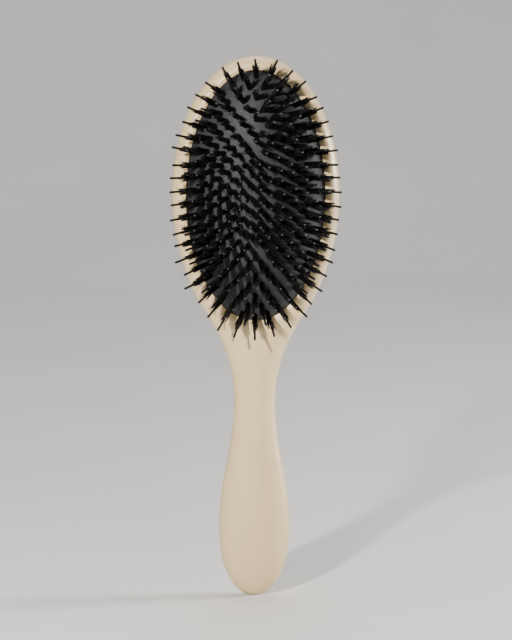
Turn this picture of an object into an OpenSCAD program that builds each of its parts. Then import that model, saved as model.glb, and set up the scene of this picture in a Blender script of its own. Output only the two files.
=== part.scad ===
// Oval pneumatic cushion hairbrush. The brush stands upright: +Z runs from the butt of the handle
// to the top of the head, and the tufts point along -Y. The origin is the butt end, on the
// handle's axis. All lengths are in millimetres.

/* [Body] */
// Length from the butt of the handle to the top of the head
body_length = 235; // [228:1:245]
// Half the width of the oval head
head_half_width = 36; // [35.4:0.1:37.5]
// Half the length of the oval head
head_half_length = 59.7; // [59.2:0.1:61.5]
// Half the width of the grip at its widest
grip_half_width = 15.3; // [14.6:0.1:17]
// Half the width of the neck at its narrowest
neck_half_width = 8.85; // [8:0.05:10]
// Depth of the head in front of the parting plane
rim_depth = 8; // [7.6:0.1:9]
// Depth of the head behind the parting plane
back_depth = 11.6; // [9:0.1:14]
// Wall of the two body mouldings
wall = 2.2; // [1.8:0.1:2.6]

/* [Cushion] */
// Half the width of the visible cushion
cushion_half_width = 29.8; // [29.2:0.1:30.1]
// Half the length of the visible cushion
cushion_half_length = 53.8; // [53.3:0.1:54.2]
// Height of the cushion's crown above its edge
crown_height = 10.6; // [8:0.1:12]
// Thickness of the rubber
rubber = 1.5; // [1.2:0.1:1.8]
// Diameter of the air hole in the middle of the cushion
air_hole_d = 1.2; // [0.8:0.1:1.4]

/* [Tufts] */
// Spacing of the tufts along each ring
tuft_pitch = 5.47; // [5.2:0.01:6]
// Diameter of a bristle bundle
bundle_d = 2.3; // [1.8:0.1:2.4]
// Height of a bristle bundle above the cushion
bundle_height = 11.8; // [9:0.1:13]
// Diameter of a nylon pin
pin_d = 1; // [0.8:0.05:1.1]
// Height of a nylon pin above the cushion
pin_height = 18.6; // [15:0.1:20]
// Diameter of the flange of a tuft anchor
anchor_d = 2.6; // [2.2:0.1:2.8]

/* [Hidden] */
ring_count = 8;

cream = [0.83, 0.78, 0.70];
black_rubber = [0.15, 0.15, 0.16];
bristle_brown = [0.09, 0.07, 0.06];
nylon_black = [0.04, 0.04, 0.04];
frame_grey = [0.35, 0.35, 0.36];

// Places along the handle
grip_z = 30;                                  // widest part of the grip
neck_z = 84;                                  // narrowest part of the neck
head_z = body_length - head_half_length;      // middle of the head
head_start_z = head_z - 26;                   // where the neck's flare meets the head's oval
closing_z = head_z + 36;                      // where the head starts to thin towards its top
tip_angle = 4;                                // each end stops at a small flat, this far short
butt_power = 2.15;                            // superellipse exponent of the butt's outline

// Sections of the two mouldings
butt_steps = 6;
flank_steps = 16;
head_steps = 16;
half_section_steps = 14;                      // facets across half a section
handle_roundness = 2.2;                       // superellipse exponent of the handle
head_front_roundness = 3.4;                   // superellipse exponent of the head's front
head_back_roundness = 2.6;                    // superellipse exponent of the head's back

// Cushion, its flange and the seat in the front moulding
edge_y = -6.2;                                // edge of the cushion's dome
seat_y = -3.6;                                // face that the flange is clamped against
flange = 1.2;                                 // thickness of the flange
flange_reach = 2.3;                           // how far the flange runs under the rim
pocket_gap = 0.4;                             // room round the flange
skirt_gap = 0.3;                              // room between the skirt and the opening
dome_power = 2.4;                             // flattish middle and steep edge
cushion_facets = 48;
frame_depth = 2.3;
frame_width = 3.8;

// Rings of tufts, counted from the outside
outer_ring_half_width = 25.8;
outer_ring_half_length = 51.1;
ring_step_x = 3.41;
ring_step_z = 4.44;
inner_squareness = 0.3;                       // exponent that squares off the innermost ring
inner_shortening = 2.6;
tuft_gap = 0.15;                              // between a tuft's foot and the rubber
anchor_gap = 0.7;                             // between an anchor and the rubber
anchor_flange = 0.7;
anchor_plug = 1;
anchor_plug_d = 1.8;
bundle_bore_r = pin_d / 2 + 0.05;
arc_steps = 180;

// Smooth curve through stations [z, value]. The first and last stations only set the slope.
function slope(s, i) = (s[i + 1][1] - s[i - 1][1]) / (s[i + 1][0] - s[i - 1][0]);
function stretch(s, z) = max([for (i = [1 : len(s) - 3]) if (i == 1 || s[i][0] <= z) i]);
function smooth(s, z) =
    let (i = stretch(s, z), span = s[i + 1][0] - s[i][0], u = (z - s[i][0]) / span)
    s[i][1] * (1 + 2 * u) * pow(1 - u, 2) + slope(s, i) * span * u * pow(1 - u, 2)
    + s[i + 1][1] * u * u * (3 - 2 * u) + slope(s, i + 1) * span * u * u * (u - 1);

// Outline of the body
function butt_share(z) = pow(1 - pow(cos(tip_angle) * (1 - z / grip_z), butt_power), 1 / butt_power);
function head_angle(z) = asin((z - head_z) / head_half_length * cos(tip_angle));
function head_outline(z) = head_half_width * cos(head_angle(z));
flank = [
    [16, grip_half_width - 0.9], [grip_z, grip_half_width], [44, grip_half_width - 0.9],
    [58, 12.2], [70, 10.05], [neck_z, neck_half_width], [93, 9.3], [103, 11.3], [111, 14.1],
    [119.5, 18.5], [129, 24.4], [139, 29.1], [head_start_z, head_outline(head_start_z)],
    [head_start_z + 8, head_outline(head_start_z + 8)]
];
function half_width(z) =
    z < grip_z ? grip_half_width * butt_share(z)
    : z > head_start_z ? head_outline(z) : smooth(flank, z);

// Depth of the body in front of and behind the parting plane
front_stations = [
    [10, 8.7], [grip_z, 8.8], [58, 7.6], [neck_z, 6.4], [103, 6.5], [128, rim_depth - 0.5],
    [150, rim_depth], [200, rim_depth], [240, rim_depth]
];
back_stations = [
    [10, 9.5], [grip_z, 9.6], [58, 8.2], [neck_z, 6.8], [103, 7.4], [128, back_depth - 2.4],
    [152, back_depth - 0.4], [175, back_depth], [205, back_depth - 0.8], [240, back_depth - 2]
];
function closing(z) =
    z < grip_z ? butt_share(z)
    : z < closing_z ? 1
    : pow(max(0, 1 - pow((z - closing_z) / (body_length - closing_z + 0.1), 3)), 1 / 3);
function front_depth(z) = smooth(front_stations, z) * closing(z);
function back_depth_at(z) = smooth(back_stations, z) * closing(z);
function roundness(z, side) =
    let (u = min(1, max(0, (z - neck_z) / (head_start_z - neck_z))),
         head_roundness = side < 0 ? head_front_roundness : head_back_roundness)
    handle_roundness + (head_roundness - handle_roundness) * u * u * (3 - 2 * u);

// Heights of the sections, from the butt to the top
function section_heights() = concat(
    [for (i = [0 : butt_steps - 1])
        let (a = tip_angle + (90 - tip_angle) * i / butt_steps) grip_z * (1 - cos(a) / cos(tip_angle))],
    [for (i = [0 : flank_steps - 1]) grip_z + (head_start_z - grip_z) * i / flank_steps],
    [for (i = [0 : head_steps])
        let (start = head_angle(head_start_z), a = start + (90 - tip_angle - start) * i / head_steps)
        head_z + head_half_length * sin(a) / cos(tip_angle)]
);

// Half of a superellipse from +X round to -X, on the front (side = -1) or back (side = 1)
function half_section(z, w, d, n, side) = [
    for (i = [0 : half_section_steps])
        let (t = 180 * i / half_section_steps, c = cos(t))
        [sign(c) * w * pow(abs(c), 2 / n), side * d * pow(sin(t), 2 / n), z]
];

// Walls thin out to half the section near the two ends, and the front of the head is thick
// enough to hold the cushion's seat
function inset(size) = size - min(wall, size / 2);
function inner_front_depth(z) = z > neck_z ? min(inset(front_depth(z)), -seat_y) : inset(front_depth(z));
function inner_height(z) = wall + z * (body_length - 2 * wall) / body_length;

// Half of the hollow body as one closed shell: its outer skin, its inner skin and the face
// on the parting plane between them
module half_shell(side) {
    heights = section_heights();
    rows = len(heights);
    row = half_section_steps + 1;
    inner = rows * row;
    last = (rows - 1) * row;
    points = concat(
        [for (z = heights) each half_section(
            z, half_width(z), side < 0 ? front_depth(z) : back_depth_at(z), roundness(z, side), side)],
        [for (z = heights) each half_section(
            inner_height(z), inset(half_width(z)),
            side < 0 ? inner_front_depth(z) : inset(back_depth_at(z)), roundness(z, side), side)]
    );
    skins = [for (j = [0 : rows - 2], i = [0 : half_section_steps - 1])
        let (a = j * row + i, b = a + row)
        each [[a, a + 1, b + 1], [a, b + 1, b],
              [inner + a, inner + b + 1, inner + a + 1], [inner + a, inner + b, inner + b + 1]]];
    parting = [for (j = [0 : rows - 2])
        let (a = j * row, b = a + row, far = half_section_steps)
        each [[a, b, inner + b], [a, inner + b, inner + a],
              [a + far, inner + b + far, b + far], [a + far, inner + a + far, inner + b + far]]];
    ends = [
        [for (i = [half_section_steps : -1 : 0]) i],
        [for (i = [0 : half_section_steps]) last + i],
        [for (i = [0 : half_section_steps]) inner + i],
        [for (i = [half_section_steps : -1 : 0]) inner + last + i],
        [0, inner, inner + half_section_steps, half_section_steps],
        [last, last + half_section_steps, inner + last + half_section_steps, inner + last]
    ];
    faces = concat(skins, parting, ends);
    polyhedron(points, side < 0 ? faces : [for (f = faces) [for (i = [len(f) - 1 : -1 : 0]) f[i]]]);
}

// Oval block round the middle of the head, from y_low to y_high
module oval(half_w, half_l, y_low, y_high) {
    translate([0, y_high, head_z]) rotate([90, 0, 0])
        linear_extrude(y_high - y_low) scale([half_w, half_l]) circle(r = 1, $fn = 96);
}

module front_shell() {
    over = 1;
    color(cream) difference() {
        half_shell(-1);
        oval(cushion_half_width, cushion_half_length, -rim_depth - over, over);
        oval(cushion_half_width + flange_reach + pocket_gap,
             cushion_half_length + flange_reach + pocket_gap, seat_y, over);
    }
}

module back_shell() {
    color(cream) half_shell(1);
}

// The cushion's dome over the oval of half width a that is concentric with the tuft rings
function ring_half_length(a) =
    a < outer_ring_half_width
    ? outer_ring_half_length - (outer_ring_half_width - a) * ring_step_z / ring_step_x
    : outer_ring_half_length + (a - outer_ring_half_width)
        * (cushion_half_length - outer_ring_half_length) / (cushion_half_width - outer_ring_half_width);
function dome_height(a) = crown_height * (1 - pow(a / cushion_half_width, dome_power));
function dome_slope(a) =
    crown_height * dome_power * pow(a / cushion_half_width, dome_power - 1) / cushion_half_width;

// One ring of points: an oval of half width a at depth y
function oval_ring(a, y) = [
    for (i = [0 : cushion_facets - 1])
        let (t = 360 * i / cushion_facets)
        [a * sin(t), y, head_z + ring_half_length(a) * cos(t)]
];

module rubber_cushion() {
    skirt = cushion_half_width - skirt_gap;
    inner_skirt = skirt - rubber;
    flange_edge = cushion_half_width + flange_reach;
    crown_a = 0.4;
    dome_rings = 9;
    inner_rings = 7;
    rings = concat(
        [for (i = [0 : dome_rings])
            let (a = crown_a + (skirt - crown_a) * i / dome_rings) [a, edge_y - dome_height(a)]],
        [[skirt, seat_y], [flange_edge, seat_y], [flange_edge, seat_y + flange],
         [inner_skirt, seat_y + flange]],
        [for (i = [inner_rings : -1 : 0])
            let (a = crown_a + (inner_skirt - crown_a) * i / inner_rings)
            [a, edge_y - dome_height(a) + rubber * sqrt(1 + pow(dome_slope(a), 2))]]
    );
    n = cushion_facets;
    points = [for (r = rings) each oval_ring(r[0], r[1])];
    sides = [for (j = [0 : len(rings) - 2], i = [0 : n - 1])
        let (a = j * n + i, b = j * n + (i + 1) % n)
        each [[a, a + n, b + n], [a, b + n, b]]];
    crown = [for (i = [0 : n - 1]) i];
    inner_crown = [for (i = [n - 1 : -1 : 0]) (len(rings) - 1) * n + i];
    color(black_rubber) difference() {
        polyhedron(points, concat(sides, [crown, inner_crown]));
        translate([0, 0, head_z]) rotate([90, 0, 0]) cylinder(d = air_hole_d, h = 30, $fn = 24);
    }
}

module cushion_frame() {
    top = seat_y + flange;
    outer_w = cushion_half_width + flange_reach;
    outer_l = cushion_half_length + flange_reach;
    over = 1;
    color(frame_grey) difference() {
        oval(outer_w, outer_l, top, top + frame_depth);
        oval(outer_w - frame_width, outer_l - frame_width, top - over, top + frame_depth + over);
    }
}

// Ring k's line through its tufts, as [x, z from the middle of the head] at angle t. The
// innermost ring is squared off into two straight columns and shortened, so that its ends stay
// apart and clear of the next ring.
function ring_half_width(k) = outer_ring_half_width - (k - 1) * ring_step_x;
function ring_point(k, t) =
    let (a = ring_half_width(k), s = sin(t), innermost = k == ring_count)
    [a * sign(s) * pow(abs(s), innermost ? inner_squareness : 1),
     (ring_half_length(a) - (innermost ? inner_shortening : 0)) * cos(t)];

// Length along ring k against the angle round it, for even spacing
function ring_arc(k) = [
    for (i = 0, s = 0; i <= arc_steps;
         s = s + norm(ring_point(k, 360 * (i + 1) / arc_steps) - ring_point(k, 360 * i / arc_steps)),
         i = i + 1)
        [s, 360 * i / arc_steps]
];

// Angles of the tufts of ring k. Every second ring is turned by half a pitch.
function tuft_angles(k) =
    let (arc = ring_arc(k), whole = arc[arc_steps][0],
         n = 2 * round(whole / tuft_pitch / 2), shift = k % 2 == 1 ? 0 : 0.5)
    [for (i = [0 : n - 1]) lookup((i + shift) / n * whole, arc)];

// Stands the children on every tuft place of ring k, with their +Z along the dome's normal
module on_ring(k) {
    a = ring_half_width(k);
    b = ring_half_length(a);
    for (t = tuft_angles(k)) {
        foot = ring_point(k, t);
        across = [ring_step_x * sin(t), ring_step_x * dome_slope(a), ring_step_z * cos(t)];
        along = [a * cos(t), 0, -b * sin(t)];
        out = cross(along, across) / norm(cross(along, across));
        normal = out[1] < 0 ? out : -out;
        translate([foot[0], edge_y - dome_height(a), head_z + foot[1]])
            rotate([0, acos(normal[2]), atan2(normal[1], normal[0])]) children();
    }
}

// Short bristles bundled round the pin
module bristles_ring(k) {
    color(bristle_brown) on_ring(k) rotate_extrude($fn = 24) polygon([
        [bundle_bore_r, tuft_gap], [bundle_d / 2, tuft_gap],
        [bundle_d / 2, bundle_height - 0.5], [bundle_d / 2 - 0.4, bundle_height],
        [bundle_bore_r, bundle_height]
    ]);
}

// Long nylon pin with a rounded tip
module pins_ring(k) {
    r = pin_d / 2;
    color(nylon_black) on_ring(k) rotate_extrude($fn = 16) polygon([
        [0, tuft_gap], [r, tuft_gap], [r, pin_height - r], [r * 0.75, pin_height - r * 0.3],
        [r * 0.35, pin_height], [0, pin_height]
    ]);
}

// Plug that holds the tuft from below the rubber
module anchors_ring(k) {
    top = -rubber - anchor_gap;
    color(frame_grey) on_ring(k) rotate_extrude($fn = 16) polygon([
        [0, top], [anchor_d / 2, top], [anchor_d / 2, top - anchor_flange],
        [anchor_plug_d / 2, top - anchor_flange], [anchor_plug_d / 2, top - anchor_flange - anchor_plug],
        [0, top - anchor_flange - anchor_plug]
    ]);
}

front_shell();
back_shell();
rubber_cushion();
cushion_frame();
for (k = [1 : ring_count]) {
    bristles_ring(k);
    pins_ring(k);
    anchors_ring(k);
}
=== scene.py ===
# Looks of the oval pneumatic cushion hairbrush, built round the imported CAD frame.
# Lengths here are in millimetres and become metres when a mesh is made. +Z runs from the butt of
# the handle to the top of the head, and the tufts point along -Y.
import math

import bpy
import numpy as np
from mathutils import Matrix, Vector


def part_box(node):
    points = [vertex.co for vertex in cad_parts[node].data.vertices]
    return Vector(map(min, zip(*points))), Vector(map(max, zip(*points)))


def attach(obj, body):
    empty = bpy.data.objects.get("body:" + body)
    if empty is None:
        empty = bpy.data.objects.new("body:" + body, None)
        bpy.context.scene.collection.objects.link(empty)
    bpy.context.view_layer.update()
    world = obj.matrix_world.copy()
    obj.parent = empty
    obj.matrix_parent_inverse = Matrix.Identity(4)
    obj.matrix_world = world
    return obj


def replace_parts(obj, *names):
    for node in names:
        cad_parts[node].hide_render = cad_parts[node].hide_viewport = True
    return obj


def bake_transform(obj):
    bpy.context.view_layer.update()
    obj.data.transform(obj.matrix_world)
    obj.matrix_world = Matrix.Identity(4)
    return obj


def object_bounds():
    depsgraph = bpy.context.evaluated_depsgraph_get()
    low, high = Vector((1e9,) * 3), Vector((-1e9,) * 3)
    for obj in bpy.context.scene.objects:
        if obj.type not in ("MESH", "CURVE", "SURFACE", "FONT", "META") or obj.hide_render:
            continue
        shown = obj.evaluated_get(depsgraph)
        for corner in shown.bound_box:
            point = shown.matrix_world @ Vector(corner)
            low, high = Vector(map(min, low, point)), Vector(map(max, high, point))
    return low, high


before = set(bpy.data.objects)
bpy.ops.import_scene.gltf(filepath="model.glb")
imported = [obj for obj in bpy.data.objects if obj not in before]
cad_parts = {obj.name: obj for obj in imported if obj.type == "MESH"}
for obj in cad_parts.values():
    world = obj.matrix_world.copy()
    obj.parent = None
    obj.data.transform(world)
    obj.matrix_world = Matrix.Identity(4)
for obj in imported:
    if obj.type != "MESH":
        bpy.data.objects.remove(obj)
cad_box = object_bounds()

MM = 0.001
BODY = "brush_body"
RING_COUNT = 8


def cad_extent(node):
    """Lowest and highest corner of a CAD node, in millimetres."""
    low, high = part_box(node)
    return np.array(low) / MM, np.array(high) / MM


# ---------------------------------------------------------------- dimensions

front_high = cad_extent("front_shell")[1]
back_high = cad_extent("back_shell")[1]
cushion_low = cad_extent("rubber_cushion")[0]

BOX_LOW, BOX_HIGH = np.array(cad_box) / MM  # corners of the whole CAD model
LENGTH = front_high[2]                  # butt to top of the head
HEAD_W = front_high[0]                  # half the width of the head
HEAD_L = 59.7                           # half the length of the head
HEAD_Z = LENGTH - HEAD_L                # middle of the head
HEAD_START_Z = HEAD_Z - 26              # where the neck's flare meets the head's oval
GRIP_Z, GRIP_W = 30, 15.3               # widest part of the grip
NECK_Z, NECK_W = 84, 8.85               # narrowest part of the neck
RIM_DEPTH = 8                           # depth of the head in front of the parting plane
SKIN_MARGIN = 0.02                      # how far the back stays inside the CAD model
BACK_DEPTH = back_high[1] - SKIN_MARGIN  # depth of the head behind the parting plane
CLOSING_Z = HEAD_Z + 36                 # where the head's back starts to thin towards the top
CLOSING_POWER = 2.6                     # superellipse exponent of that thinning
ROUNDNESS = 2.15                        # superellipse exponent of the butt and the sections
HEAD_BACK_ROUNDNESS = 2.6               # the same for sections of the head's back
SHELL_WALL = 1.6
SECTION_COLUMNS = 58                    # points across half a section, besides those at its ends

OPENING_W, OPENING_L = 29.8, 53.8       # half sizes of the oval opening in the rim
RIM_ROLL = 8                            # how far in from the outline the rim's curve reaches
RIM_DIP = 1.6                           # how far the rim falls from its crest to the opening
RIM_DIP_REACH = 4.2                     # how far from the opening that fall starts
RIM_FILLET = 0.45                       # rounding of the opening's edge
PARTING_GROOVE = 0.14                   # depth of the line between the two mouldings
CUT_Z = 108                             # the head's mesh meets the handle's mesh here

CUSHION_W = OPENING_W - 0.06            # just clear of the opening's wall
CUSHION_WALL = 1.2
EDGE_Y = -6.2                           # edge of the cushion's dome
CROWN_Y = cushion_low[1]                # crown of the dome
CROWN_HEIGHT = EDGE_Y - CROWN_Y
DOME_POWER = 2.4
SEAT_Y = -3.6                           # where the cushion goes under the rim
OUTER_RING_W, OUTER_RING_L = 25.8, 51.1  # half sizes of the outermost ring of tufts
RING_STEP_X, RING_STEP_Z = 3.41, 4.44   # from one ring to the next

TUFT_TILT = 2.2                         # spread of a tuft's own tilt, in degrees
BRISTLES_PER_TUFT = 46
LOCKS_PER_TUFT = 5
LOCK_LEAN = 0.38                        # spread of how far a lock leans aside at its end
LOCK_SHORTENING = 1.8                   # most that a lock falls short of the bundle's height
STRAY_SHARE = 0.07                      # share of the bristles that stray outwards
BUNDLE_R = 1.08
BUNDLE_HEIGHT = 12.4
BRISTLE_R = 0.13
BRISTLE_RINGS, BRISTLE_SIDES = 4, 4     # mesh of one bristle, which also has two end caps
FACES_PER_BRISTLE = (BRISTLE_RINGS - 1) * BRISTLE_SIDES + 2
PIN_R = 0.5
TILT_SEED, BRISTLE_SEED, PIN_SEED = 900, 100, 500


# ---------------------------------------------------------------- outline and depth of the body

def spline(stations, z):
    """Smooth curve through [z, value] stations; the first and last only set the slope."""
    x, y = np.array(stations, float).T
    slope = np.zeros_like(y)
    slope[1:-1] = (y[2:] - y[:-2]) / (x[2:] - x[:-2])
    i = np.clip(np.searchsorted(x, z, side="right") - 1, 1, len(x) - 3)
    span = x[i + 1] - x[i]
    u = (z - x[i]) / span
    return (
        y[i] * (1 + 2 * u) * (1 - u) ** 2
        + slope[i] * span * u * (1 - u) ** 2
        + y[i + 1] * u * u * (3 - 2 * u)
        + slope[i + 1] * span * u * u * (u - 1)
    )


def smoothstep(low, high, x):
    u = np.clip((x - low) / (high - low), 0, 1)
    return u * u * (3 - 2 * u)


def head_outline(z):
    return HEAD_W * np.sqrt(np.clip(1 - ((z - HEAD_Z) / HEAD_L) ** 2, 0, 1))


FLANK = [
    [16, GRIP_W - 0.9], [GRIP_Z, GRIP_W], [44, GRIP_W - 0.9],
    [58, 12.2], [70, 10.05], [NECK_Z, NECK_W], [93, 9.3], [103, 11.3], [111, 14.1],
    [119.5, 18.5], [129, 24.4], [139, 29.1], [HEAD_START_Z, head_outline(HEAD_START_Z)],
    [HEAD_START_Z + 8, head_outline(HEAD_START_Z + 8)],
]
FRONT_STATIONS = [
    [10, 8.7], [GRIP_Z, 8.8], [58, 7.6], [NECK_Z, 6.4], [103, 6.5], [128, RIM_DEPTH - 0.5],
    [150, RIM_DEPTH], [200, RIM_DEPTH], [240, RIM_DEPTH],
]
BACK_STATIONS = [
    [10, 9.5], [GRIP_Z, 9.6], [58, 8.2], [NECK_Z, 6.8], [103, 7.4], [128, BACK_DEPTH - 2.4],
    [152, BACK_DEPTH - 0.4], [175, BACK_DEPTH], [205, BACK_DEPTH - 0.8], [240, BACK_DEPTH - 2],
]


def butt_share(z):
    """1 at the grip, falling to 0 at the very end of the butt, round a quarter superellipse."""
    fall = np.clip((GRIP_Z - z) / GRIP_Z, 0, 1) ** ROUNDNESS
    return np.clip(1 - fall, 0, 1) ** (1 / ROUNDNESS)


def half_width(z):
    z = np.asarray(z, float)
    handle = np.where(z < GRIP_Z, GRIP_W, spline(FLANK, z)) * butt_share(z)
    return np.where(z > HEAD_START_Z, head_outline(z), handle)


def front_y(x, z):
    """The front skin. It rolls over from the outline, across the whole half width on the handle
    and over RIM_ROLL on the head, and dips towards the oval opening. A point's distance from the
    outline is measured beside it on the handle and square to the oval on the head."""
    width = half_width(z)
    step = 0.05                         # for the slope of the outline
    flare = (half_width(z + step) - half_width(z - step)) / (2 * step)
    beside = (width - np.abs(x)) / np.sqrt(1 + flare**2)
    gauge = np.sqrt((x / HEAD_W) ** 2 + ((z - HEAD_Z) / HEAD_L) ** 2)
    steepness = np.sqrt((x / HEAD_W**2) ** 2 + ((z - HEAD_Z) / HEAD_L**2) ** 2) / np.maximum(gauge, 0.1)
    around = (1 - gauge) / np.maximum(steepness, 1e-4)
    on_head = smoothstep(HEAD_START_Z - 6, HEAD_START_Z + 8, z)
    inset = np.clip(beside * (1 - on_head) + around * on_head, 0, None)
    narrow = width / np.sqrt(1 + flare**2)
    roll = narrow + (RIM_ROLL - narrow) * smoothstep(NECK_Z + 8, HEAD_START_Z + 2, z)
    share = np.clip(1 - inset / roll, 0, 1)
    depth = spline(FRONT_STATIONS, z) * butt_share(z)
    y = -depth * (1 - share**ROUNDNESS) ** (1 / ROUNDNESS)
    near = np.clip(1 - opening_distance(x, z) / RIM_DIP_REACH, 0, 1)
    return y + RIM_DIP * near**2


def opening_distance(x, z):
    """Distance outwards from the oval opening's edge, good close to it."""
    gauge = np.sqrt((x / OPENING_W) ** 2 + ((z - HEAD_Z) / OPENING_L) ** 2)
    steepness = np.sqrt((x / OPENING_W**2) ** 2 + ((z - HEAD_Z) / OPENING_L**2) ** 2) / gauge
    return np.clip((gauge - 1) / steepness, 0, None)


def back_y(x, z):
    share = np.clip(np.abs(x) / np.maximum(half_width(z), 1e-6), 0, 1)
    power = ROUNDNESS + (HEAD_BACK_ROUNDNESS - ROUNDNESS) * smoothstep(NECK_Z, HEAD_START_Z, z)
    top = np.clip((z - CLOSING_Z) / (LENGTH - CLOSING_Z), 0, 1)
    closing = (1 - top**CLOSING_POWER) ** (1 / CLOSING_POWER)
    depth = spline(BACK_STATIONS, z) * butt_share(z) * closing
    return depth * (1 - share**power) ** (1 / power)


# ---------------------------------------------------------------- mesh helpers

def make_piece(name, points, faces, material, body=BODY):
    """A smooth-shaded mesh from points in millimetres, riding on a CAD body if one is named."""
    mesh = bpy.data.meshes.new(name)
    mesh.from_pydata((np.asarray(points) * MM).tolist(), [], [list(map(int, f)) for f in faces])
    mesh.validate()
    mesh.shade_smooth()
    piece = bpy.data.objects.new(name, mesh)
    bpy.context.scene.collection.objects.link(piece)
    mesh.materials.append(material)
    if body:
        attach(piece, body)
    return piece


def grid_faces(rows, columns, closed=False, start=0):
    """Quads of a grid of points stored row by row; closed joins the last column to the first."""
    spans = columns if closed else columns - 1
    row, column = np.meshgrid(np.arange(rows - 1), np.arange(spans), indexing="ij")
    row, column = row.ravel(), column.ravel()
    low, high = row * columns, (row + 1) * columns
    beside = (column + 1) % columns
    return start + np.stack([low + column, low + beside, high + beside, high + column], 1)


def apply_modifier(piece, kind, **settings):
    modifier = piece.modifiers.new(kind.title(), kind)
    for key, value in settings.items():
        setattr(modifier, key, value)
    with bpy.context.temp_override(object=piece, active_object=piece, selected_objects=[piece]):
        bpy.ops.object.modifier_apply(modifier=modifier.name)


def weld_and_thicken(piece, thickness):
    """Joins coincident points and gives the skin an inner side, so that the piece is closed."""
    coincident = 0.002
    apply_modifier(piece, "WELD", merge_threshold=coincident * MM)
    apply_modifier(piece, "SOLIDIFY", thickness=thickness * MM, offset=-1, use_even_offset=False)


def flatten_parting(piece, side):
    """Keeps a moulding on its own side of the parting plane, so that the two meet face to face."""
    for vertex in piece.data.vertices:
        if vertex.co.y * side < 0:
            vertex.co.y = 0


# ---------------------------------------------------------------- materials

def new_material(name):
    material = bpy.data.materials.new(name)
    material.use_nodes = True
    tree = material.node_tree
    shader = tree.nodes["Principled BSDF"]
    place = tree.nodes.new("ShaderNodeTexCoord")
    return material, tree, shader, place.outputs["Object"]


def noise(tree, place, scale, detail=3, roughness=0.5, stretch=None):
    """A noise value; scale is in features per metre, stretch scales the coordinates first."""
    if stretch:
        mapping = tree.nodes.new("ShaderNodeMapping")
        mapping.inputs["Scale"].default_value = stretch
        tree.links.new(place, mapping.inputs["Vector"])
        place = mapping.outputs["Vector"]
    node = tree.nodes.new("ShaderNodeTexNoise")
    node.inputs["Scale"].default_value = scale
    node.inputs["Detail"].default_value = detail
    node.inputs["Roughness"].default_value = roughness
    tree.links.new(place, node.inputs["Vector"])
    return node.outputs["Fac"]


def vary_colour(tree, shader, value, stops):
    """Runs the base colour through [position, colour] stops with a noise value."""
    ramp = tree.nodes.new("ShaderNodeValToRGB")
    elements = ramp.color_ramp.elements
    while len(elements) < len(stops):
        elements.new(0.5)
    for element, (position, colour) in zip(elements, stops):
        element.position = position
        element.color = (*colour, 1)
    tree.links.new(value, ramp.inputs["Fac"])
    tree.links.new(ramp.outputs["Color"], shader.inputs["Base Color"])


def vary_roughness(tree, shader, value, low, high):
    """Runs the roughness from low to high with a noise value."""
    node = tree.nodes.new("ShaderNodeMapRange")
    node.inputs["To Min"].default_value = low
    node.inputs["To Max"].default_value = high
    tree.links.new(value, node.inputs["Value"])
    tree.links.new(node.outputs["Result"], shader.inputs["Roughness"])


def bump(tree, shader, height, strength, distance, below=None):
    """Small relief, distance in millimetres, on top of the relief below if there is one."""
    node = tree.nodes.new("ShaderNodeBump")
    node.inputs["Strength"].default_value = strength
    node.inputs["Distance"].default_value = distance * MM
    tree.links.new(height, node.inputs["Height"])
    if below:
        tree.links.new(below, node.inputs["Normal"])
    tree.links.new(node.outputs["Normal"], shader.inputs["Normal"])
    return node.outputs["Normal"]


def cream_plastic():
    """Soft-touch cream moulding: faint mottling, micro grain and slightly uneven gloss."""
    material, tree, shader, place = new_material("cream_soft_touch")
    mottle = noise(tree, place, 45, 4)
    vary_colour(tree, shader, mottle, [(0.3, (0.615, 0.465, 0.25)), (0.7, (0.64, 0.49, 0.27))])
    vary_roughness(tree, shader, noise(tree, place, 160, 3), 0.34, 0.43)
    bump(tree, shader, noise(tree, place, 4200, 2), 0.12, 0.02)
    shader.inputs["Specular IOR Level"].default_value = 0.5
    return material


def black_rubber():
    """Matte rubber with a fine pebbled grain and a little bloom."""
    material, tree, shader, place = new_material("black_rubber")
    bloom = noise(tree, place, 220, 5, 0.6)
    vary_colour(tree, shader, bloom, [(0.3, (0.009, 0.0095, 0.011)), (0.75, (0.016, 0.017, 0.0195))])
    vary_roughness(tree, shader, noise(tree, place, 900, 4, 0.65), 0.46, 0.8)
    waves = bump(tree, shader, noise(tree, place, 500, 3), 0.35, 0.1)
    bump(tree, shader, noise(tree, place, 2600, 3), 0.3, 0.04, below=waves)
    shader.inputs["Specular IOR Level"].default_value = 0.44
    return material


def dark_bristle():
    """Near-black bristle with a brownish tint that varies from place to place, and a satin sheen."""
    material, tree, shader, place = new_material("dark_bristle")
    tint = noise(tree, place, 900, 2)
    vary_colour(tree, shader, tint, [(0.35, (0.004, 0.0038, 0.0036)), (0.7, (0.009, 0.0075, 0.0068))])
    vary_roughness(tree, shader, noise(tree, place, 1500, 2), 0.2, 0.36)
    shader.inputs["Specular IOR Level"].default_value = 0.18
    return material


def black_nylon():
    """Drawn nylon pin: black, satin, with faint draw lines along it."""
    material, tree, shader, place = new_material("black_nylon")
    tint = noise(tree, place, 400, 2)
    vary_colour(tree, shader, tint, [(0.3, (0.006, 0.006, 0.0065)), (0.7, (0.010, 0.010, 0.011))])
    vary_roughness(tree, shader, noise(tree, place, 1200, 2), 0.3, 0.42)
    bump(tree, shader, noise(tree, place, 1800, 2, stretch=(1, 0.15, 1)), 0.1, 0.02)
    return material


def grey_plastic():
    """Unpainted grey moulding of the pieces inside the head."""
    material, tree, shader, place = new_material("grey_plastic")
    tint = noise(tree, place, 120, 3)
    vary_colour(tree, shader, tint, [(0.3, (0.1, 0.1, 0.105)), (0.7, (0.13, 0.13, 0.135))])
    vary_roughness(tree, shader, noise(tree, place, 600, 3), 0.45, 0.6)
    bump(tree, shader, noise(tree, place, 3000, 2), 0.1, 0.02)
    return material


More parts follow.
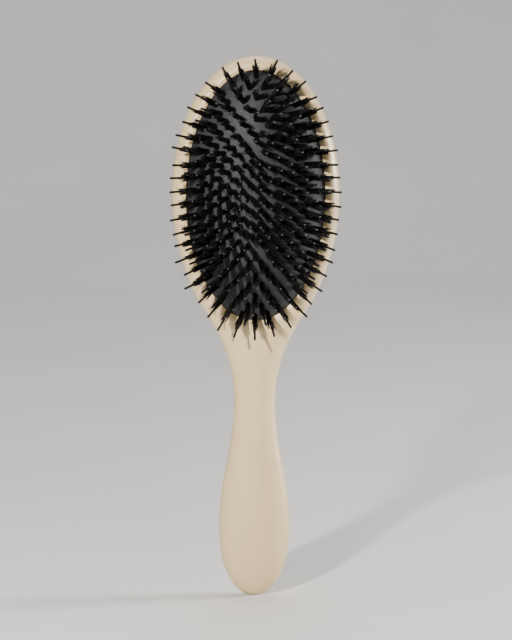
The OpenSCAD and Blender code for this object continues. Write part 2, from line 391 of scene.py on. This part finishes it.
def floor_paint():
    """Pale matte paint, very slightly uneven."""
    material, tree, shader, place = new_material("pale_floor")
    tint = noise(tree, place, 6, 4)
    vary_colour(tree, shader, tint, [(0.3, (0.62, 0.605, 0.59)), (0.7, (0.66, 0.645, 0.63))])
    shader.inputs["Roughness"].default_value = 0.75
    return material


# ---------------------------------------------------------------- body mouldings

def section_angles(count):
    """Angles across a half section, with two extra close to each end for the parting line."""
    close = np.array([0, 0.01, 0.035])
    even_from = 0.07
    even = np.linspace(even_from, math.pi - even_from, count)
    return np.concatenate([close, even, math.pi - close[::-1]])


def section_points(z, angles, surface, power=ROUNDNESS):
    """Points of a half section on a surface; power sets how they are spaced across it."""
    x = half_width(z) * np.sign(np.cos(angles)) * np.abs(np.cos(angles)) ** (2 / power)
    x[[0, -1]] = half_width(z), -half_width(z)
    return np.stack([x, surface(x, np.full_like(x, z)), np.full_like(x, z)], 1)


def groove(points):
    """Pulls the points that lie in the parting plane in a little, which leaves a fine line.
    Rounding puts the ends of a few sections up to 1e-6 mm off the plane. They miss the tolerance
    and keep the full width, and which sections they are can change from run to run."""
    tolerance = 1e-9
    on_plane = np.abs(points[:, 1]) < tolerance
    inward = np.stack([-points[:, 0], np.zeros(len(points)), np.zeros(len(points))], 1)
    above = points[:, 2] > HEAD_START_Z
    inward[above, 2] = (HEAD_Z - points[above, 2]) * (HEAD_W / HEAD_L) ** 2
    length = np.maximum(np.linalg.norm(inward, axis=1), 1e-6)
    points[on_plane] += (inward / length[:, None] * PARTING_GROOVE)[on_plane]
    return points


def handle_heights(top, count):
    """Heights from the butt up to top, close together round the end of the butt."""
    flat_angle = 0.02                   # leaves a tiny flat at the very end of the butt
    butt_rows = 22
    butt = GRIP_Z * (1 - np.cos(np.linspace(flat_angle, math.pi / 2, butt_rows)))
    return np.concatenate([butt, np.linspace(GRIP_Z, top, count)[1:]])


def head_line(angles):
    """The head's outer line as [x, z], and which of its points lie on the parting plane. It runs
    up the right flank, over the top, down the left flank and back along the handle's last section."""
    flank_steps, crown_steps = 26, 230
    flank_z = np.linspace(CUT_Z, HEAD_START_Z, flank_steps)[:-1]
    right = np.stack([half_width(flank_z), flank_z], 1)
    first = math.asin((HEAD_START_Z - HEAD_Z) / HEAD_L)
    sweep = first + (math.pi - 2 * first) * np.linspace(0, 1, crown_steps)
    crown = np.stack([HEAD_W * np.cos(sweep), HEAD_Z + HEAD_L * np.sin(sweep)], 1)
    left = right[::-1] * [-1, 1]
    base = section_points(CUT_Z, angles, front_y)[::-1][1:-1][:, [0, 2]]
    line = np.concatenate([right, crown, left, base])
    return line, np.arange(len(line)) < len(line) - len(base)


def head_rows(angles):
    """Rows of points from the head's outer line in to the opening, over its rounded edge and down
    its wall to the cushion's seat."""
    outer, on_parting = head_line(angles)
    direction = np.arctan2((outer[:, 1] - HEAD_Z) / OPENING_L, outer[:, 0] / OPENING_W)
    ring = np.stack([np.cos(direction), np.sin(direction)], 1)
    inner = ring * [OPENING_W + RIM_FILLET, OPENING_L + RIM_FILLET] + [0, HEAD_Z]
    beside_parting = [0, 4e-5, 4e-4]
    share = np.concatenate([beside_parting, np.linspace(0.05, 1, 40) ** 2])
    flat = outer[None] + share[:, None, None] * (inner - outer)[None]
    x, z = flat[..., 0], flat[..., 1]
    y = front_y(x, z)
    y[0, on_parting] = 0
    rows = list(np.stack([x, y, z], 2))
    for angle in np.linspace(0, math.pi / 2, 7)[1:]:
        out = RIM_FILLET * (1 - math.sin(angle))
        drop = RIM_FILLET * (1 - math.cos(angle))
        edge = ring * [OPENING_W + out, OPENING_L + out] + [0, HEAD_Z]
        rows.append(np.stack([edge[:, 0], y[-1] + drop, edge[:, 1]], 1))
    wall = rows[-1].copy()
    wall[:, 1] = SEAT_Y
    return np.array(rows + [wall])


def front_moulding(material):
    angles = section_angles(SECTION_COLUMNS)
    heights = handle_heights(CUT_Z, 60)
    handle = np.concatenate([section_points(z, angles, front_y) for z in heights])
    head = head_rows(angles)
    columns = len(angles)
    faces = [list(f) for f in grid_faces(len(heights), columns)[:, ::-1]]
    faces.append(list(range(columns)))
    faces += [list(f) for f in grid_faces(len(head), len(head[0]), closed=True, start=len(handle))]
    points = np.concatenate([handle, head.reshape(-1, 3)])
    piece = make_piece("body_front", groove(points), faces, material)
    weld_and_thicken(piece, SHELL_WALL)
    flatten_parting(piece, -1)
    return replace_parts(piece, "front_shell")


def back_moulding(material):
    angles = section_angles(SECTION_COLUMNS)
    column_power = 2.3
    first_angle, flat_angle = 0.05, 0.015   # above the middle of the head, and short of its top
    head = HEAD_Z + HEAD_L * np.sin(np.linspace(first_angle, math.pi / 2 - flat_angle, 70))
    heights = np.concatenate([handle_heights(HEAD_Z, 100), head])
    points = np.concatenate([section_points(z, angles, back_y, column_power) for z in heights])
    columns = len(angles)
    faces = [list(f) for f in grid_faces(len(heights), columns)]
    faces.append(list(range(columns))[::-1])
    faces.append([len(points) - columns + i for i in range(columns)])
    piece = make_piece("body_back", groove(points), faces, material)
    weld_and_thicken(piece, SHELL_WALL)
    flatten_parting(piece, 1)
    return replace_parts(piece, "back_shell")


# ---------------------------------------------------------------- rubber cushion

def ring_half_length(a):
    """Half length of the oval of half width a that is concentric with the rings of tufts."""
    inside = OUTER_RING_L - (OUTER_RING_W - a) * RING_STEP_Z / RING_STEP_X
    outside = OUTER_RING_L + (a - OUTER_RING_W) * (OPENING_L - OUTER_RING_L) / (OPENING_W - OUTER_RING_W)
    return np.where(a < OUTER_RING_W, inside, outside)


def dome_y(a):
    return EDGE_Y - CROWN_HEIGHT * (1 - (a / OPENING_W) ** DOME_POWER)


def cushion(material):
    """The dome, which turns down at its edge into a short skirt that ends at the seat."""
    columns, dome_rows = 220, 70
    around = np.linspace(0, 2 * math.pi, columns, endpoint=False)
    crown_a = 0.02
    turn = 0.5                          # width over which the dome turns down
    profile = [(a, dome_y(a)) for a in np.linspace(crown_a, CUSHION_W - turn, dome_rows)]
    profile += [
        (CUSHION_W - 0.4 * turn, dome_y(CUSHION_W - turn) + 0.7 * turn),
        (CUSHION_W, EDGE_Y + 1.2 * turn),
        (CUSHION_W, SEAT_Y),
    ]
    points = np.array([
        [a * math.sin(t), y, HEAD_Z + float(ring_half_length(a)) * math.cos(t)]
        for a, y in profile for t in around
    ])
    faces = [list(f) for f in grid_faces(len(profile), columns, closed=True)]
    faces.append(list(range(columns))[::-1])
    piece = make_piece("rubber_pad", points, faces, material, body=None)
    apply_modifier(piece, "SOLIDIFY", thickness=CUSHION_WALL * MM, offset=-1, use_even_offset=False)
    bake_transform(piece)
    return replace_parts(piece, "rubber_cushion")


# ---------------------------------------------------------------- tufts

def tuft_places(ring):
    """Foot, direction and pin length of every tuft of a ring, from the separate solids of its
    CAD pins."""
    random = np.random.default_rng(TILT_SEED + ring)
    end_band = 0.05                     # points this close to a pin's end belong to that end
    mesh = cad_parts[f"pins_ring_{ring}"].data
    points = np.array([v.co for v in mesh.vertices], float) / MM
    keys, member = np.unique(np.round(points, 4), axis=0, return_inverse=True)
    member = member.ravel()
    parent = np.arange(len(keys))

    def root(i):
        while parent[i] != i:
            parent[i] = parent[parent[i]]
            i = parent[i]
        return i

    for edge in mesh.edges:
        a, b = (root(member[v]) for v in edge.vertices)
        parent[a] = b
    labels = np.array([root(i) for i in range(len(keys))])
    places = []
    for label in np.unique(labels):
        cloud = keys[labels == label]
        middle = cloud.mean(0)
        axis = np.linalg.svd(cloud - middle)[2][0]
        axis *= -np.sign(axis[1])
        along = (cloud - middle) @ axis
        foot = cloud[along < along.min() + end_band].mean(0)
        tip = cloud[along > along.max() - end_band].mean(0)
        places.append((foot, tip - foot))
    places.sort(key=lambda place: tuple(np.round(place[0], 2)))
    return [lean(foot, reach, random) for foot, reach in places]


def lean(foot, reach, random):
    """Tilts one tuft a little its own way, but keeps its tip inside the CAD model's box."""
    length = np.linalg.norm(reach)
    across, up = side_axes(reach / length)
    tilt = random.normal(0, math.radians(TUFT_TILT), 2)
    margin = PIN_R * 1.1
    for share in (1, 0.6, 0.3, 0):
        axis = reach / length + share * (tilt[0] * across + tilt[1] * up)
        axis /= np.linalg.norm(axis)
        tip = foot + axis * length
        if np.all(tip - margin > BOX_LOW) and np.all(tip + margin < BOX_HIGH):
            break
    return foot, axis, length


def side_axes(axis):
    """Two directions square to an axis and to each other."""
    across = np.cross(axis, [0.0, 0.0, 1.0])
    across /= np.linalg.norm(across)
    return across, np.cross(axis, across)


def strand(centres, radii, across, up, sides):
    """Rings of a thin strand about its centre line."""
    angle = np.linspace(0, 2 * math.pi, sides, endpoint=False)
    ring = np.cos(angle)[:, None] * across + np.sin(angle)[:, None] * up
    return (centres[:, None] + radii[:, None, None] * ring[None]).reshape(-1, 3)


def strand_faces(count, rings, sides):
    """Faces of count closed strands: the sides and the two end caps."""
    one = [list(f) for f in grid_faces(rings, sides, closed=True)]
    one.append(list(range(sides))[::-1])
    one.append([(rings - 1) * sides + i for i in range(sides)])
    size = rings * sides
    return [[s * size + v for v in face] for s in range(count) for face in one]


def bristle_bundle(foot, axis, random):
    """Points of every bristle of one tuft. The bristles stand packed at the foot. Above it they
    part into a few locks that lean their own ways, with uneven slanting ends and a few strays."""
    across, up = side_axes(axis)
    share = np.array([-0.03, 0.35, 0.72, 1.0])  # places along a bristle; its root is in the rubber
    taper = np.array([1, 1, 0.95, 0.7])
    bend = (np.sign(share) * np.abs(share) ** 1.8)[:, None]
    golden = math.pi * (3 - math.sqrt(5))
    locks = random.normal(0, LOCK_LEAN, (LOCKS_PER_TUFT, 2))
    shortening = random.uniform(0, LOCK_SHORTENING, LOCKS_PER_TUFT)
    points = []
    for i in range(BRISTLES_PER_TUFT):
        radius = BUNDLE_R * math.sqrt(0.16 + 0.84 * (i + 0.5) / BRISTLES_PER_TUFT)
        angle = i * golden + random.normal(0, 0.12)
        lock = int(angle % (2 * math.pi) / (2 * math.pi) * LOCKS_PER_TUFT)
        start = np.array([math.cos(angle), math.sin(angle)]) * radius
        end = start * random.uniform(1.0, 1.25) + locks[lock] + random.normal(0, 0.16, 2)
        if random.random() < STRAY_SHARE:
            end += start / radius * random.uniform(0.5, 1.4)
        height = BUNDLE_HEIGHT - shortening[lock] + random.normal(0, 0.55) - 0.3 * (radius / BUNDLE_R) ** 2
        flat = start + bend * (end - start)
        centres = foot + flat[:, :1] * across + flat[:, 1:] * up + (share * height)[:, None] * axis
        radii = BRISTLE_R * taper * random.uniform(0.85, 1.1)
        bristle = strand(centres, radii, across, up, BRISTLE_SIDES)
        cut = random.normal(0, 0.7, 2) * radii[-1]
        bristle[-BRISTLE_SIDES:] += np.outer([cut[0], cut[1], -cut[0], -cut[1]], axis)
        points.append(bristle)
    return np.concatenate(points)


def bristle_ring(ring, places, material):
    """Every bristle of one ring. Only the outer end caps are flat-shaded, so the cut ends catch light."""
    random = np.random.default_rng(BRISTLE_SEED + ring)
    points = np.concatenate([bristle_bundle(foot, axis, random) for foot, axis, _ in places])
    faces = strand_faces(len(places) * BRISTLES_PER_TUFT, BRISTLE_RINGS, BRISTLE_SIDES)
    piece = make_piece(f"bristles_{ring}", points, faces, material, f"tuft_ring_{ring}")
    for end_cap in list(piece.data.polygons)[FACES_PER_BRISTLE - 1::FACES_PER_BRISTLE]:
        end_cap.use_smooth = False
    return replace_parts(piece, f"bristles_ring_{ring}")


def pin_ring(ring, places, material):
    """Nylon pins that taper a little and end in a slightly fuller rounded tip."""
    random = np.random.default_rng(PIN_SEED + ring)
    sides = 12
    root = -0.3                         # first ring, which is set in the rubber
    shoulder = 1.1                      # from the shaft's last ring to the end of the pin
    tip = np.linspace(0, math.pi / 2 - 0.12, 6)
    shaft_taper = [1.1, 1.08, 1.04, 1.0, 0.97, 0.97, 1.05]
    radii = PIN_R * np.concatenate([shaft_taper, 1.08 * np.cos(tip)])
    points = []
    for foot, axis, length in places:
        across, up = side_axes(axis)
        bow = random.normal(0, 0.12, 2)
        shaft = np.array([root, 0.5, 4, 8, 12, 15.5, length - shoulder])
        end = length - PIN_R + PIN_R * np.sin(tip)
        height = np.concatenate([shaft, end])
        bend = np.clip(height / length, 0, 1) ** 2
        centres = foot + height[:, None] * axis + bend[:, None] * (bow[0] * across + bow[1] * up)
        points.append(strand(centres, radii, across, up, sides))
    faces = strand_faces(len(places), len(radii), sides)
    piece = make_piece(f"pins_{ring}", np.concatenate(points), faces, material, f"tuft_ring_{ring}")
    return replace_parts(piece, f"pins_ring_{ring}")


# ---------------------------------------------------------------- stage, lights and camera

def stage(material):
    """Pale floor that sweeps up into the backdrop well behind the brush."""
    width, front, back, radius, height = 6000, -6000, 1100, 700, 2600
    arc = np.linspace(0, math.pi / 2, 24)
    profile = [(front, 0)] + [(back + radius * math.sin(a), radius * (1 - math.cos(a))) for a in arc]
    profile.append((back + radius, height))
    points = [[x, y, z] for y, z in profile for x in (-width, width)]
    piece = make_piece("floor", points, grid_faces(len(profile), 2), material, body=None)


def area_light(name, azimuth, elevation, distance, size, power, colour=(1, 1, 1), aim=(0, 0, 150)):
    """A round light aimed at the brush. Azimuth 0 is straight in front, positive to the right.
    Distance and size are in metres, power in watts and aim in millimetres."""
    a, e = math.radians(azimuth), math.radians(elevation)
    aim = Vector(aim) * MM
    data = bpy.data.lights.new(name, "AREA")
    data.shape = "DISK"
    data.size = size
    data.energy = power
    data.color = colour
    lamp = bpy.data.objects.new(name, data)
    offset = Vector((math.sin(a) * math.cos(e), -math.cos(a) * math.cos(e), math.sin(e))) * distance
    lamp.location = aim + offset
    lamp.rotation_euler = offset.to_track_quat("Z", "Y").to_euler()
    bpy.context.scene.collection.objects.link(lamp)


def lights():
    """A small warm key gives the tufts their hard shadows; the others fill, rim and wash."""
    world = bpy.data.worlds.new("studio")
    world.use_nodes = True
    background = world.node_tree.nodes["Background"]
    background.inputs["Color"].default_value = (0.98, 0.99, 1.0, 1)
    background.inputs["Strength"].default_value = 0.1
    bpy.context.scene.world = world
    area_light("key", -19.5, 15, 0.75, 0.045, 10.8, (1, 0.965, 0.91), aim=(0, 0, 185))
    area_light("right_rim", 102, 8, 0.9, 0.28, 15, (1, 0.98, 0.95))
    area_light("back_wash", 180, 55, 1.8, 1.2, 8)
    area_light("ceiling", 180, 75, 3, 2.6, 45)


def camera():
    """Long lens straight in front, a little above the brush."""
    elevation = math.radians(7.5)
    distance = 1.4                      # metres from the aim
    seen_height = 0.2766                # metres of the aim's plane that fill the picture's height
    aim = Vector((0.4 * MM, 0, 120.9 * MM))
    data = bpy.data.cameras.new("camera")
    data.sensor_fit = "VERTICAL"
    data.sensor_height = 36
    data.lens = data.sensor_height * distance / seen_height
    data.clip_start = 0.05
    back = Vector((0, -math.cos(elevation), math.sin(elevation)))
    holder = bpy.data.objects.new("camera", data)
    holder.location = aim + back * distance
    roll = Matrix.Rotation(math.radians(0.27), 3, "Z")
    holder.rotation_euler = (back.to_track_quat("Z", "Y").to_matrix() @ roll).to_euler()
    bpy.context.scene.collection.objects.link(holder)
    bpy.context.scene.camera = holder


# ---------------------------------------------------------------- the whole brush

cream = cream_plastic()
rubber = black_rubber()
bristle = dark_bristle()
nylon = black_nylon()
plastic = grey_plastic()

front_moulding(cream)
back_moulding(cream)
cushion(rubber)
for number in range(1, RING_COUNT + 1):
    feet = tuft_places(number)
    bristle_ring(number, feet, bristle)
    pin_ring(number, feet, nylon)
for node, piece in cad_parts.items():
    if node == "cushion_frame" or node.startswith("anchors_ring_"):
        piece.data.materials.clear()
        piece.data.materials.append(plastic)

stage(floor_paint())
lights()
camera()
